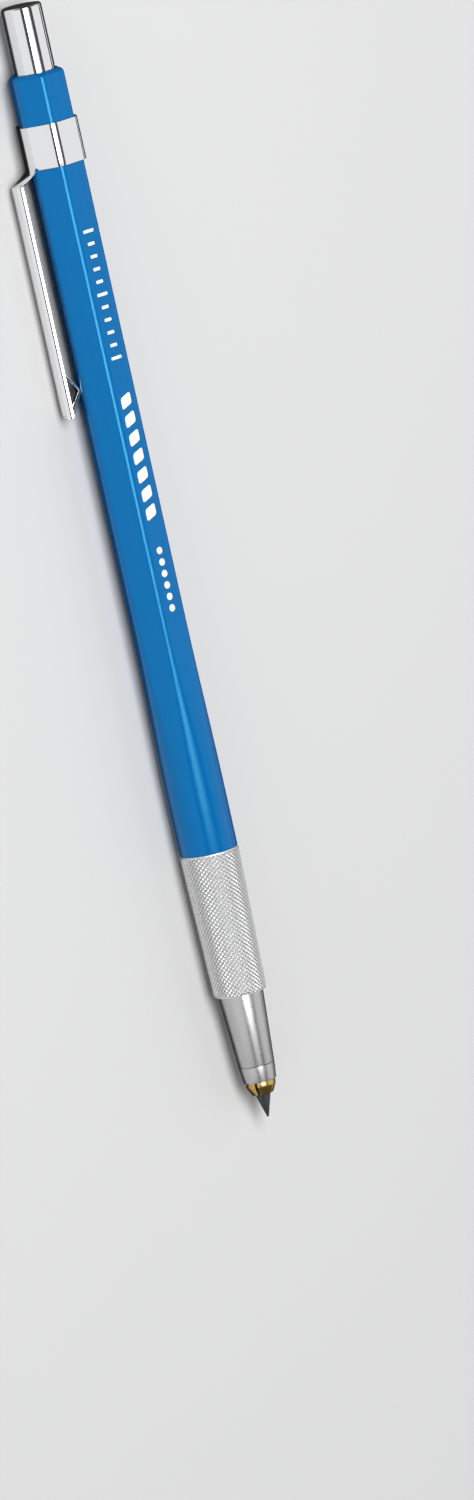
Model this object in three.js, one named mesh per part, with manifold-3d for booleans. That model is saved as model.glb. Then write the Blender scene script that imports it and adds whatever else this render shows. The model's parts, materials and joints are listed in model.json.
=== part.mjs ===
// A lead holder (clutch pencil) for 2 mm leads, as separate pieces in their closed, rest state.
//
// Each piece is modelled on the holder's own axis: +Z runs from the tip to the push button, z = 0 is the
// front face of the tip ring, and +X points at the clip. At the end the whole holder is laid on its side, tip
// towards +X, where it stops rolling: on its clip and its clip band. Lengths are in millimetres.
import * as THREE from "three";
import { mergeVertices } from "three/addons/utils/BufferGeometryUtils.js";
import Module from "manifold-3d";

const wasm = await Module();
wasm.setup();

// ---- Driving dimensions ----

// Clearances
const FIT = 0.03; // between pieces that are pushed or screwed together
const SLIDE = 0.075; // radial, between a piece and the bore that it slides in

// Lead, jaws and clutch
const LEAD_DIAMETER = 2;
const LEAD_STANDOUT = 5; // in front of the tip ring
const LEAD_POINT_LENGTH = 3.1;
const LEAD_POINT_DIAMETER = 0.3;
const JAW_COUNT = 3;
const JAW_WALL = 0.39;
const JAW_SLOT = 0.35;
const JAW_STANDOUT = 1.8;
const JAW_LENGTH = 13; // from the tip ring's front face to the jaw's root
const JAW_HEAD_BULGE = 0.08; // how far the head swells in front of the seat
const JAW_HEAD_LENGTH = 2.5; // behind the tip ring's front face
const JAW_NOSE_WALL = 0.4; // wall left at the jaw's front edge
const JAW_OPENING_DEG = 2;
const PRESS_TRAVEL = 4; // of the push button
const CLUTCH_BODY_LENGTH = 7;
const CLUTCH_STOP_LENGTH = 2.5; // stretch of the clutch body in front of the tube

// Tip ring and nose cone
const SEAT_LENGTH = 1;
const SEAT_SLOPE = 0.15; // radius gained per millimetre towards the front
const TIP_RING_LENGTH = 2.2;
const TIP_RING_WALL = 0.25;
const TIP_SPIGOT_WALL = 0.2;
const TIP_SPIGOT_LENGTH = 2.8;
const TIP_EDGE = 0.12;
const NOSE_LENGTH = 9.8;
const NOSE_FRONT_WALL = 0.38;
const NOSE_SPIGOT_WALL = 0.59;
const NOSE_SPIGOT_LENGTH = 12;
const NOSE_SHOULDER = 0.38;

// Grip sleeve
const GRIP_LENGTH = 19.3;
const GRIP_FRONT_STEP = 0.55; // how far it stands out from the nose cone
const GRIP_REAR_STEP = 0.12; // how far it stands out from the barrel
const GRIP_EDGE = 0.25;
const GRIP_THREAD_WALL = 0.32;
const GRIP_THREAD_LENGTH = 8.2;

// Lead tube and what is on it
const TUBE_ROOM = 0.15; // radial, round the lead
const TUBE_WALL = 0.35;
const TUBE_REAR_GAP = 1.5; // between the tube and the sharpener
const LEAD_REAR_ROOM = 9; // empty tube behind a new lead
const SPRING_WIRE = 0.35;
const SPRING_ROOM = 0.3; // radial, between the spring and the tube
const SPRING_LENGTH = 19.7;
const SPRING_TURNS = 9;
const COLLAR_WIDTH = 0.97;
const COLLAR_LENGTH = 2.5;
const SNAP_RING_THICKNESS = 0.5;
const SNAP_RING_WIDTH = 0.55;
const SNAP_RING_GAP_DEG = 40;
const SNAP_GROOVE_DEPTH = 0.15;
const FERRULE_WALL = 0.81;
const FERRULE_LENGTH = 6.5;

// Push button with its sharpener
const BUTTON_STANDOUT = 8.8; // behind the barrel
const BUTTON_LENGTH = 17.8;
const BUTTON_WALL = 0.3;
const BUTTON_END_WALL = 0.5;
const BUTTON_EDGE = 0.3;
const CORE_LENGTH = 9.25;
const CORE_MOUTH_ROOM = 0.12; // radial, round the lead
const CORE_CONE_LENGTH = 7;
const CORE_CONE_END_RADIUS = 0.12;
const BLADE_THICKNESS = 0.4;
const BLADE_LENGTH = 5;
const BLADE_SETBACK = 1; // from the core's mouth
const BLADE_BACK_DEPTH = 0.15; // how far its back is sunk in the core

// Barrel
const BARREL_LENGTH = 105.2;
const BARREL_WALL = 0.725; // at the middle of a flat
const BARREL_FRONT_WALL = 0.47; // round the thread insert
const BARREL_ROUND_LENGTH = 6.7; // fully round stretch behind the grip
const BARREL_BLEND_LENGTH = 20; // where the flats run out
const BARREL_REAR_EDGE = 0.8;
const INSERT_WALL = 0.35;
const INSERT_LENGTH = 9.7;

// Clip
const BAND_SETBACK = 6.7; // from the barrel's rear end
const BAND_LENGTH = 5.7;
const SHEET = 0.38; // thickness of the pressed sheet
const CLIP_LENGTH = 32.9; // below the band
const CLIP_NECK_DROP = 1.8; // length over which the neck reaches the arm
const CLIP_WIDTH = 3;
const CLIP_GAP = 1.62; // between the arm's rims and the barrel's flat
const CLIP_DEPTH = 1.3;
const CLIP_FOLD_CONTACT = 3.4; // from the clip's end to where it bears on the barrel
const CLIP_FOLD_LENGTH = 6.1;
const CLIP_FOLD_WIDTH = 2.1;

// Facets of round pieces, and of arcs in their profiles
const ROUND_SIDES = 36;
const BARREL_SIDES = 72;
const HEX_SIDES = 6;
const ARC_STEPS = 4;
const WIRE_SIDES = 6;
const SPRING_STEPS_PER_TURN = 16;
const MERGE_DISTANCE = 1e-4;
const CUT_MARGIN = 1; // how far a cutting solid passes the piece that it cuts

// ---- Radii, from the lead outwards ----

const leadR = LEAD_DIAMETER / 2;
const jawInnerR = leadR + FIT;
const jawOuterR = jawInnerR + JAW_WALL;
const jawOpening = THREE.MathUtils.degToRad(JAW_OPENING_DEG);
const fingerSwing = (JAW_LENGTH - SEAT_LENGTH - PRESS_TRAVEL) * Math.tan(jawOpening);
const seatBoreR = jawOuterR + fingerSwing + SLIDE + FIT;
const seatFrontR = seatBoreR + SEAT_SLOPE * SEAT_LENGTH;
const tipFrontR = seatFrontR + TIP_RING_WALL;
const tipSpigotR = seatBoreR + TIP_SPIGOT_WALL;
const noseBoreR = tipSpigotR + FIT;
const noseFrontR = noseBoreR + NOSE_FRONT_WALL;
const noseSpigotR = noseBoreR + NOSE_SPIGOT_WALL;
const noseRearR = noseSpigotR + NOSE_SHOULDER;
const clutchR = noseBoreR - SLIDE;
const gripBoreR = noseSpigotR + FIT;
const gripThreadR = gripBoreR + GRIP_THREAD_WALL;
const insertBoreR = gripThreadR + FIT;
const insertR = insertBoreR + INSERT_WALL;
const insertPocketR = insertR + FIT;
const barrelRoundR = insertPocketR + BARREL_FRONT_WALL;
const gripFrontR = noseRearR + GRIP_FRONT_STEP;
const gripRearR = barrelRoundR + GRIP_REAR_STEP;

const tubeBoreR = leadR + TUBE_ROOM;
const tubeR = tubeBoreR + TUBE_WALL;
const tubeSocketR = tubeR + FIT;
const springR = tubeR + SPRING_ROOM + SPRING_WIRE / 2;
const collarR = tubeSocketR + COLLAR_WIDTH;
const ferruleR = tubeSocketR + FERRULE_WALL;
const buttonBoreR = ferruleR + FIT;
const buttonR = buttonBoreR + BUTTON_WALL;
const coreR = buttonBoreR - FIT;
const coreMouthR = leadR + CORE_MOUTH_ROOM;

const barrelBoreR = Math.max(buttonR, collarR) + SLIDE;
const barrelFlatR = barrelBoreR + BARREL_WALL; // axis to the middle of a flat
const bandBoreR = barrelFlatR + FIT;
const bandFlatR = bandBoreR + SHEET;
const bandBoreCornerR = barrelRoundR + FIT;
const bandCornerR = bandBoreCornerR + SHEET;
const clipRimR = barrelFlatR + CLIP_GAP;
const clipFaceR = clipRimR + CLIP_DEPTH;

// ---- Places along the axis, from the tip backwards ----

const noseFrontZ = TIP_RING_LENGTH;
const noseRearZ = noseFrontZ + NOSE_LENGTH;
const noseSpigotEndZ = noseRearZ + NOSE_SPIGOT_LENGTH;
const gripRearZ = noseRearZ + GRIP_LENGTH;
const gripThreadEndZ = gripRearZ + GRIP_THREAD_LENGTH;
const barrelFrontZ = gripRearZ + FIT;
const barrelRearZ = barrelFrontZ + BARREL_LENGTH;
const insertPocketEndZ = barrelFrontZ + INSERT_LENGTH + FIT;
const bandRearZ = barrelRearZ - BAND_SETBACK;
const bandFrontZ = bandRearZ - BAND_LENGTH;
const clipTopZ = bandFrontZ - FIT;
const clipEndZ = clipTopZ - CLIP_LENGTH;

const clutchFrontZ = JAW_LENGTH + FIT;
const clutchRearZ = clutchFrontZ + CLUTCH_BODY_LENGTH;
const tubeFrontZ = clutchFrontZ + CLUTCH_STOP_LENGTH + FIT;
const springFrontZ = noseSpigotEndZ + FIT;
const collarFrontZ = springFrontZ + SPRING_LENGTH + FIT;
const collarRearZ = collarFrontZ + COLLAR_LENGTH;
const snapRingZ = collarRearZ + FIT;

const buttonEndZ = barrelRearZ + BUTTON_STANDOUT;
const buttonFrontZ = buttonEndZ - BUTTON_LENGTH;
const coreRearZ = buttonEndZ - BUTTON_END_WALL - FIT;
const coreFrontZ = coreRearZ - CORE_LENGTH;
const tubeRearZ = coreFrontZ - TUBE_REAR_GAP;
const leadFrontZ = -LEAD_STANDOUT;
const leadRearZ = tubeRearZ - LEAD_REAR_ROOM;

// ---- Materials ----

function finish(color, roughness, metalness) {
  return new THREE.MeshStandardMaterial({ color, roughness, metalness });
}

const bluePlastic = () => finish(0x0070bc, 0.22, 0);
const chrome = () => finish(0xe2e4e6, 0.08, 1);
const knurledSteel = () => finish(0xd6d8da, 0.35, 1);
const polishedSteel = () => finish(0xc9cbcd, 0.2, 1);
const brass = () => finish(0xc9a557, 0.3, 1);
const springSteel = () => finish(0x9b9da0, 0.3, 1);
const graphite = () => finish(0x3a3b3d, 0.5, 0.2);
const whitePlastic = () => finish(0xe8e6e0, 0.45, 0);

// ---- Geometry helpers ----

// Profile points [radius, z] of the quarter circle that softens the rear edge of a round piece.
function roundedRearEdge(outerR, rearZ, radius) {
  const points = [];
  for (let step = 0; step <= ARC_STEPS; step += 1) {
    const angle = ((Math.PI / 2) * step) / ARC_STEPS;
    points.push([outerR - radius * (1 - Math.cos(angle)), rearZ - radius * (1 - Math.sin(angle))]);
  }
  return points;
}

// Turned piece: the profile runs anticlockwise with the radius to the right and +Z up, and is closed on
// itself unless it starts and ends on the axis.
function turned(profile, sides = ROUND_SIDES) {
  const onAxis = profile[0][0] === 0;
  const closed = onAxis ? profile : [...profile, profile[0]];
  const points = closed.map(([radius, z]) => new THREE.Vector2(radius, z));
  return new THREE.LatheGeometry(points, sides).rotateX(Math.PI / 2);
}

// Plate cut to an outline [x, z], with its thickness along Y, centred.
function plate(outline, thickness) {
  const shape = new THREE.Shape(outline.map(([x, z]) => new THREE.Vector2(x, z)));
  const geometry = new THREE.ExtrudeGeometry(shape, { depth: thickness, bevelEnabled: false });
  return geometry.rotateX(Math.PI / 2).translate(0, thickness / 2, 0);
}

function solidOf(geometry) {
  const bare = geometry.clone();
  bare.deleteAttribute("normal");
  bare.deleteAttribute("uv");
  const merged = mergeVertices(bare, MERGE_DISTANCE);
  return new wasm.Manifold(
    new wasm.Mesh({
      numProp: 3,
      vertProperties: merged.attributes.position.array,
      triVerts: new Uint32Array(merged.index.array),
    }),
  );
}

function geometryOf(solid) {
  const mesh = solid.getMesh();
  const geometry = new THREE.BufferGeometry();
  const corners = new Float32Array(mesh.vertProperties);
  geometry.setAttribute("position", new THREE.BufferAttribute(corners, 3));
  geometry.setIndex(new THREE.BufferAttribute(new Uint32Array(mesh.triVerts), 1));
  geometry.computeVertexNormals();
  return geometry;
}

function joined(...geometries) {
  return geometryOf(geometries.map(solidOf).reduce((all, next) => all.add(next)));
}

function cut(geometry, cutter) {
  return geometryOf(solidOf(geometry).subtract(solidOf(cutter)));
}

function common(first, second) {
  return geometryOf(solidOf(first).intersect(solidOf(second)));
}

// Six-sided body whose flats lie at each [flatRadius, z] in turn. One flat faces +X.
function hexBody(sections) {
  const toCorner = 1 / Math.cos(Math.PI / HEX_SIDES);
  const wall = sections.map(([flatRadius, z]) => [flatRadius * toCorner, z]);
  const bottom = sections[0][1];
  const top = sections[sections.length - 1][1];
  return turned([[0, bottom], ...wall, [0, top]], HEX_SIDES);
}

// ---- Barrel ----

// Round stock with a softened rear edge, cut to six flats that run out towards the grip.
function barrelGeometry() {
  const blendFrontZ = barrelFrontZ + BARREL_ROUND_LENGTH;
  const blendRearZ = blendFrontZ + BARREL_BLEND_LENGTH;
  const stock = turned(
    [
      [0, barrelFrontZ],
      [barrelRoundR, barrelFrontZ],
      ...roundedRearEdge(barrelRoundR, barrelRearZ, BARREL_REAR_EDGE),
      [0, barrelRearZ],
    ],
    BARREL_SIDES,
  );
  const flats = hexBody([
    [barrelRoundR + CUT_MARGIN, barrelFrontZ - CUT_MARGIN],
    [barrelRoundR + FIT, blendFrontZ],
    [barrelFlatR, blendRearZ],
    [barrelFlatR, barrelRearZ + CUT_MARGIN],
  ]);
  const bore = turned([
    [0, barrelFrontZ - CUT_MARGIN],
    [insertPocketR, barrelFrontZ - CUT_MARGIN],
    [insertPocketR, insertPocketEndZ],
    [barrelBoreR, insertPocketEndZ],
    [barrelBoreR, barrelRearZ + CUT_MARGIN],
    [0, barrelRearZ + CUT_MARGIN],
  ]);
  return cut(common(stock, flats), bore);
}

function threadInsertGeometry() {
  return turned([
    [insertBoreR, barrelFrontZ],
    [insertR, barrelFrontZ],
    [insertR, barrelFrontZ + INSERT_LENGTH],
    [insertBoreR, barrelFrontZ + INSERT_LENGTH],
  ]);
}

// ---- Clip ----

function clipBandGeometry() {
  const outside = common(
    hexBody([
      [bandFlatR, bandFrontZ],
      [bandFlatR, bandRearZ],
    ]),
    turned(
      [
        [0, bandFrontZ - CUT_MARGIN],
        [bandCornerR, bandFrontZ - CUT_MARGIN],
        [bandCornerR, bandRearZ + CUT_MARGIN],
        [0, bandRearZ + CUT_MARGIN],
      ],
      BARREL_SIDES,
    ),
  );
  const inside = common(
    hexBody([
      [bandBoreR, bandFrontZ - CUT_MARGIN],
      [bandBoreR, bandRearZ + CUT_MARGIN],
    ]),
    turned(
      [
        [0, bandFrontZ - CUT_MARGIN],
        [bandBoreCornerR, bandFrontZ - CUT_MARGIN],
        [bandBoreCornerR, bandRearZ + CUT_MARGIN],
        [0, bandRearZ + CUT_MARGIN],
      ],
      BARREL_SIDES,
    ),
  );
  return cut(outside, inside);
}

// Neck, channel-shaped arm, and the end of the sheet folded back into a V that bears on the barrel.
function clipArmGeometry() {
  const neckEndZ = clipTopZ - CLIP_NECK_DROP;
  const contactR = barrelFlatR + FIT;
  const contactZ = clipEndZ + CLIP_FOLD_CONTACT;
  const foldEndZ = clipEndZ + CLIP_FOLD_LENGTH;
  const web = plate(
    [
      [bandBoreR, clipTopZ],
      [bandBoreR, clipTopZ - SHEET],
      [clipFaceR - SHEET, neckEndZ - SHEET],
      [clipFaceR - SHEET, clipEndZ],
      [clipFaceR, clipEndZ],
      [clipFaceR, neckEndZ],
      [bandFlatR, clipTopZ],
    ],
    CLIP_WIDTH,
  );
  const rimTopZ = neckEndZ - SHEET;
  const rim = plate(
    [
      [clipRimR, clipEndZ + CLIP_DEPTH / 2],
      [clipFaceR - SHEET / 2, clipEndZ],
      [clipFaceR - SHEET / 2, rimTopZ],
      [clipRimR, rimTopZ],
    ],
    SHEET,
  );
  const rimOffset = (CLIP_WIDTH - SHEET) / 2;
  const fold = plate(
    [
      [clipFaceR - SHEET / 2, clipEndZ],
      [clipFaceR - SHEET / 2, clipEndZ + SHEET],
      [clipRimR, clipEndZ + SHEET + CLIP_DEPTH / 2],
      [contactR + SHEET, contactZ],
      [clipRimR, foldEndZ - SHEET],
      [clipRimR, foldEndZ],
      [contactR, contactZ + SHEET / 2],
      [contactR, contactZ - SHEET / 2],
      [clipRimR, clipEndZ],
    ],
    CLIP_FOLD_WIDTH,
  );
  const leftRim = rim.clone().translate(0, rimOffset, 0);
  const rightRim = rim.clone().translate(0, -rimOffset, 0);
  return joined(web, leftRim, rightRim, fold);
}

// ---- Grip and nose ----

function gripSleeveGeometry() {
  return turned([
    [gripBoreR, noseRearZ + FIT],
    [gripFrontR - GRIP_EDGE, noseRearZ + FIT],
    [gripFrontR, noseRearZ + FIT + GRIP_EDGE],
    [gripRearR, gripRearZ - GRIP_EDGE],
    [gripRearR - GRIP_EDGE, gripRearZ],
    [gripThreadR, gripRearZ],
    [gripThreadR, gripThreadEndZ - GRIP_EDGE],
    [gripThreadR - GRIP_EDGE, gripThreadEndZ],
    [gripBoreR, gripThreadEndZ],
  ]);
}

function noseConeGeometry() {
  return turned([
    [noseBoreR, noseFrontZ + FIT],
    [noseFrontR, noseFrontZ + FIT],
    [noseRearR, noseRearZ],
    [noseSpigotR, noseRearZ],
    [noseSpigotR, noseSpigotEndZ],
    [noseBoreR, noseSpigotEndZ],
  ]);
}

function tipRingGeometry() {
  return turned([
    [seatFrontR, 0],
    [tipFrontR - TIP_EDGE, 0],
    [tipFrontR, TIP_EDGE],
    [noseFrontR, noseFrontZ],
    [tipSpigotR, noseFrontZ],
    [tipSpigotR, noseFrontZ + TIP_SPIGOT_LENGTH],
    [seatBoreR, noseFrontZ + TIP_SPIGOT_LENGTH],
    [seatBoreR, SEAT_LENGTH],
  ]);
}

// ---- Clutch and lead ----

// One finger of the split clutch, centred on +X. Its head widens to the front and bears on the tip ring.
function jawGeometry() {
  const headFrontR = seatFrontR - FIT;
  const collet = turned([
    [jawInnerR, -JAW_STANDOUT],
    [jawInnerR + JAW_NOSE_WALL, -JAW_STANDOUT],
    [headFrontR + JAW_HEAD_BULGE, -JAW_STANDOUT / 3],
    [headFrontR, 0],
    [seatBoreR - FIT, SEAT_LENGTH],
    [jawOuterR, JAW_HEAD_LENGTH],
    [jawOuterR, JAW_LENGTH],
    [jawInnerR, JAW_LENGTH],
  ]);
  const halfAngle = Math.PI / JAW_COUNT;
  const apex = JAW_SLOT / 2 / Math.sin(halfAngle);
  const reach = seatFrontR + CUT_MARGIN;
  const sector = new THREE.Shape([
    new THREE.Vector2(apex, 0),
    new THREE.Vector2(apex + reach * Math.cos(halfAngle), -reach * Math.sin(halfAngle)),
    new THREE.Vector2(apex + 2 * reach, -reach * Math.sin(halfAngle)),
    new THREE.Vector2(apex + 2 * reach, reach * Math.sin(halfAngle)),
    new THREE.Vector2(apex + reach * Math.cos(halfAngle), reach * Math.sin(halfAngle)),
  ]);
  const depth = JAW_STANDOUT + JAW_LENGTH + 2 * CUT_MARGIN;
  const wedge = new THREE.ExtrudeGeometry(sector, { depth, bevelEnabled: false });
  wedge.translate(0, 0, -JAW_STANDOUT - CUT_MARGIN);
  return common(collet, wedge);
}

function clutchBodyGeometry() {
  return turned([
    [tubeBoreR, clutchFrontZ],
    [clutchR, clutchFrontZ],
    [clutchR, clutchRearZ],
    [tubeSocketR, clutchRearZ],
    [tubeSocketR, clutchFrontZ + CLUTCH_STOP_LENGTH],
    [tubeBoreR, clutchFrontZ + CLUTCH_STOP_LENGTH],
  ]);
}

function leadGeometry() {
  return turned([
    [0, leadFrontZ],
    [LEAD_POINT_DIAMETER / 2, leadFrontZ],
    [leadR, leadFrontZ + LEAD_POINT_LENGTH],
    [leadR, leadRearZ],
    [0, leadRearZ],
  ]);
}

// ---- Lead tube, spring and what holds it ----

function leadTubeGeometry() {
  const grooveR = tubeR - SNAP_GROOVE_DEPTH;
  const grooveFrontZ = snapRingZ - FIT / 2;
  const grooveRearZ = snapRingZ + SNAP_RING_THICKNESS + FIT;
  return turned([
    [tubeBoreR, tubeFrontZ],
    [tubeR, tubeFrontZ],
    [tubeR, grooveFrontZ],
    [grooveR, grooveFrontZ],
    [grooveR, grooveRearZ],
    [tubeR, grooveRearZ],
    [tubeR, tubeRearZ],
    [tubeBoreR, tubeRearZ],
  ]);
}

function plainRing(innerR, outerR, frontZ, length) {
  return turned([
    [innerR, frontZ],
    [outerR, frontZ],
    [outerR, frontZ + length],
    [innerR, frontZ + length],
  ]);
}

// Open ring that snaps into the tube's groove.
function snapRingGeometry() {
  const innerR = tubeR - SNAP_GROOVE_DEPTH + FIT;
  const outerR = innerR + SNAP_RING_WIDTH;
  const halfGap = THREE.MathUtils.degToRad(SNAP_RING_GAP_DEG / 2);
  const shape = new THREE.Shape();
  shape.absarc(0, 0, outerR, halfGap, 2 * Math.PI - halfGap, false);
  shape.absarc(0, 0, innerR, 2 * Math.PI - halfGap, halfGap, true);
  return new THREE.ExtrudeGeometry(shape, {
    depth: SNAP_RING_THICKNESS,
    curveSegments: ROUND_SIDES / 2,
    bevelEnabled: false,
  }).translate(0, 0, snapRingZ);
}

class Helix extends THREE.Curve {
  getPoint(t, target = new THREE.Vector3()) {
    const angle = 2 * Math.PI * SPRING_TURNS * t;
    const rise = SPRING_LENGTH - SPRING_WIRE;
    const z = springFrontZ + SPRING_WIRE / 2 + rise * t;
    return target.set(springR * Math.cos(angle), springR * Math.sin(angle), z);
  }
}

function mainSpringGeometry() {
  const wire = new THREE.Shape().absarc(0, 0, SPRING_WIRE / 2, 0, 2 * Math.PI, false);
  return new THREE.ExtrudeGeometry(wire, {
    steps: SPRING_TURNS * SPRING_STEPS_PER_TURN,
    curveSegments: WIRE_SIDES / 2, // each half of the circle
    extrudePath: new Helix(),
    bevelEnabled: false,
  });
}

// ---- Push button ----

function buttonShellGeometry() {
  const innerEndZ = buttonEndZ - BUTTON_END_WALL;
  return turned([
    [0, innerEndZ],
    [buttonBoreR, innerEndZ],
    [buttonBoreR, buttonFrontZ],
    [buttonR, buttonFrontZ],
    ...roundedRearEdge(buttonR, buttonEndZ, BUTTON_EDGE),
    [0, buttonEndZ],
  ]);
}

function coneRadiusAt(z) {
  const depth = (z - coreFrontZ) / CORE_CONE_LENGTH;
  return THREE.MathUtils.lerp(coreMouthR, CORE_CONE_END_RADIUS, depth);
}

// Outline [x, z] of the blade, whose edge lies along the cone, grown by room on every side.
function bladeOutline(room, edgeRoom) {
  const frontZ = coreFrontZ + BLADE_SETBACK - room;
  const rearZ = frontZ + BLADE_LENGTH + 2 * room;
  const backR = coreR - BLADE_BACK_DEPTH + room;
  return [
    [coneRadiusAt(frontZ) - edgeRoom, frontZ],
    [backR, frontZ],
    [backR, rearZ],
    [coneRadiusAt(rearZ) - edgeRoom, rearZ],
  ];
}

function sharpenerCoreGeometry() {
  const coneEndZ = coreFrontZ + CORE_CONE_LENGTH;
  const core = turned([
    [0, coneEndZ],
    [CORE_CONE_END_RADIUS, coneEndZ],
    [coreMouthR, coreFrontZ],
    [coreR, coreFrontZ],
    [coreR, coreRearZ],
    [0, coreRearZ],
  ]);
  const slot = plate(bladeOutline(FIT, leadR / 2), BLADE_THICKNESS + 2 * FIT);
  return cut(core, slot);
}

function sharpenerBladeGeometry() {
  return plate(bladeOutline(0, 0), BLADE_THICKNESS);
}

// ---- Assembly ----

const holder = new THREE.Group();

function place(name, geometry, material) {
  const mesh = new THREE.Mesh(geometry, material);
  mesh.name = name;
  holder.add(mesh);
  return mesh;
}

place("barrel", barrelGeometry(), bluePlastic());
place("thread_insert", threadInsertGeometry(), brass());
place("clip_band", clipBandGeometry(), chrome());
place("clip_arm", clipArmGeometry(), chrome());
place("grip_sleeve", gripSleeveGeometry(), knurledSteel());
place("nose_cone", noseConeGeometry(), polishedSteel());
place("tip_ring", tipRingGeometry(), polishedSteel());
place("lead_tube", leadTubeGeometry(), brass());
place("tube_ferrule", plainRing(tubeSocketR, ferruleR, tubeRearZ - FERRULE_LENGTH, FERRULE_LENGTH), brass());
place("clutch_body", clutchBodyGeometry(), brass());
place("spring_collar", plainRing(tubeSocketR, collarR, collarFrontZ, COLLAR_LENGTH), brass());
place("snap_ring", snapRingGeometry(), springSteel());
place("main_spring", mainSpringGeometry(), springSteel());
for (let number = 1; number <= JAW_COUNT; number += 1) {
  const jaw = place(`jaw_${number}`, jawGeometry(), brass());
  jaw.rotation.z = ((number - 1) * 2 * Math.PI) / JAW_COUNT;
}
place("lead", leadGeometry(), graphite());
place("button_shell", buttonShellGeometry(), chrome());
place("sharpener_core", sharpenerCoreGeometry(), whitePlastic());
place("sharpener_blade", sharpenerBladeGeometry(), springSteel());

// Roll about the axis that brings the clip arm's lower edge and the band's nearest corner down to one level.
function restingRoll() {
  const flatAngle = (2 * Math.PI) / HEX_SIDES;
  const cornerAngle = -flatAngle - Math.acos(bandFlatR / bandCornerR);
  const bandCorner = new THREE.Vector2(bandCornerR, 0).rotateAround(new THREE.Vector2(), cornerAngle);
  const armEdge = new THREE.Vector2(clipFaceR, -CLIP_WIDTH / 2);
  const across = bandCorner.sub(armEdge);
  return Math.atan2(across.x, -across.y) + Math.PI;
}

holder.rotation.set(restingRoll(), -Math.PI / 2, 0);
const leadHolder = new THREE.Group();
leadHolder.add(holder);
const lying = new THREE.Box3().setFromObject(leadHolder, true);
const middle = lying.getCenter(new THREE.Vector3());
holder.position.set(-middle.x, -middle.y, -lying.min.z);

export default leadHolder;
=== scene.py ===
import json
import math
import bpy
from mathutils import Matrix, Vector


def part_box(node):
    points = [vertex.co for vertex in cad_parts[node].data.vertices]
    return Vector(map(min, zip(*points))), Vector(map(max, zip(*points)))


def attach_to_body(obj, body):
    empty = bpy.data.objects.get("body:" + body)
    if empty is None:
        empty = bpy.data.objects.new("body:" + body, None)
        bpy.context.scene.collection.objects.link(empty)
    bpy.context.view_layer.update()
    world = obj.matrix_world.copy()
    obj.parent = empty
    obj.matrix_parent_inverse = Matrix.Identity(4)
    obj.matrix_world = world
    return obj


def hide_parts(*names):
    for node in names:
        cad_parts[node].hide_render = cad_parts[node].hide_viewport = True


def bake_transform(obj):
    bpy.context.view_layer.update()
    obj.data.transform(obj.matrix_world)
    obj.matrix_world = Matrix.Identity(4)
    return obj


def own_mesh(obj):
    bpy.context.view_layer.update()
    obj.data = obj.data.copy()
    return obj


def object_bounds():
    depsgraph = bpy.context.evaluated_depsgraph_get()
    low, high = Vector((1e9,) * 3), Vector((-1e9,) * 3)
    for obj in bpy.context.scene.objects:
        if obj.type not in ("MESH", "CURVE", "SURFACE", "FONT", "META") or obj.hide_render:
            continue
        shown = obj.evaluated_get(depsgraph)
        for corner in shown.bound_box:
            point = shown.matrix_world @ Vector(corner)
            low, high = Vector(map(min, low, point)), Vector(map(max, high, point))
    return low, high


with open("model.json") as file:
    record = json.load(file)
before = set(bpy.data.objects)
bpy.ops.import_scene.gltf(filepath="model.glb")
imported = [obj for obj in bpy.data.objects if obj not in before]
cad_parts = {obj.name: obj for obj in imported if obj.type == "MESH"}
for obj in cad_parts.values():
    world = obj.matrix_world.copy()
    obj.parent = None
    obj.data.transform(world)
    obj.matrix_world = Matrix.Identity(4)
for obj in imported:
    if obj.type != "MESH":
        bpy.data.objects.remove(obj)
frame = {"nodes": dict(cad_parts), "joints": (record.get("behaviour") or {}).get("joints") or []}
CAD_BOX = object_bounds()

from types import SimpleNamespace

import bmesh
import bpy
import numpy as np
from bpy.props import FloatProperty, FloatVectorProperty, IntProperty, PointerProperty
from mathutils import Matrix, Vector

bl_info = {
    "name": "Lead Holder",
    "version": (1, 0, 0),
    "blender": (4, 5, 0),
    "location": "View3D > Sidebar > Lead Holder",
    "description": "Fine surfaces and finishes for a clutch lead holder",
    "category": "Add Mesh",
}

MM = 0.001
FIT = 0.03 * MM  # gap that the frame leaves between fitted pieces
SHARP_ANGLE = math.radians(32)
BACKGROUND = (0.9, 0.9, 0.9)
DIM_WORLD = (0.08, 0.082, 0.085)
MERGE = 1e-7  # distance within which points become one


# ---- The holder's own axes: z runs back from the tip along its axis, x points at the clip ----


def holder_axes():
    """Origin on the axis at the tip ring's front face, and the own x, y and z as columns of a turn."""
    clip_joint = next(j for j in frame["joints"] if j["name"] == "clip_flex")
    y = -np.array(clip_joint["axis"], float)
    z = np.array([-1.0, 0.0, 0.0])
    low, high = (np.array(corner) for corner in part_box("tip_ring"))
    middle = (low + high) / 2
    return np.array([high[0], middle[1], middle[2]]), np.column_stack([np.cross(y, z), y, z])


ORIGIN, TURN = holder_axes()


def to_row(points):
    """Own coordinates to the row frame: the origin plus the points turned."""
    return ORIGIN + np.asarray(points) @ TURN.T


def own_points(node):
    """A CAD node's vertices in the holder's own coordinates."""
    mesh = frame["nodes"][node].data
    flat = np.empty(len(mesh.vertices) * 3)
    mesh.vertices.foreach_get("co", flat)
    return (flat.reshape(-1, 3) - ORIGIN) @ TURN


def stations(node):
    """Front and rear end of a CAD node, measured back from the tip ring's front face."""
    low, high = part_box(node)
    return ORIGIN[0] - high.x, ORIGIN[0] - low.x


def profile(node):
    """Radius about the axis, and station, of each of a CAD node's vertices."""
    points = own_points(node)
    return np.hypot(points[:, 0], points[:, 1]), points[:, 2]


def radii(node):
    """Smallest and largest radius of a CAD node's vertices about the axis."""
    radius = profile(node)[0]
    return radius.min(), radius.max()


def ring_outline(node):
    """A plain ring over a CAD node's own radii and stations, as an outline of radius and station."""
    front, rear = stations(node)
    inner, outer = radii(node)
    return [(inner, front), (outer, front), (outer, rear), (inner, rear)]


# ---- Sizes and colours ----


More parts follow.
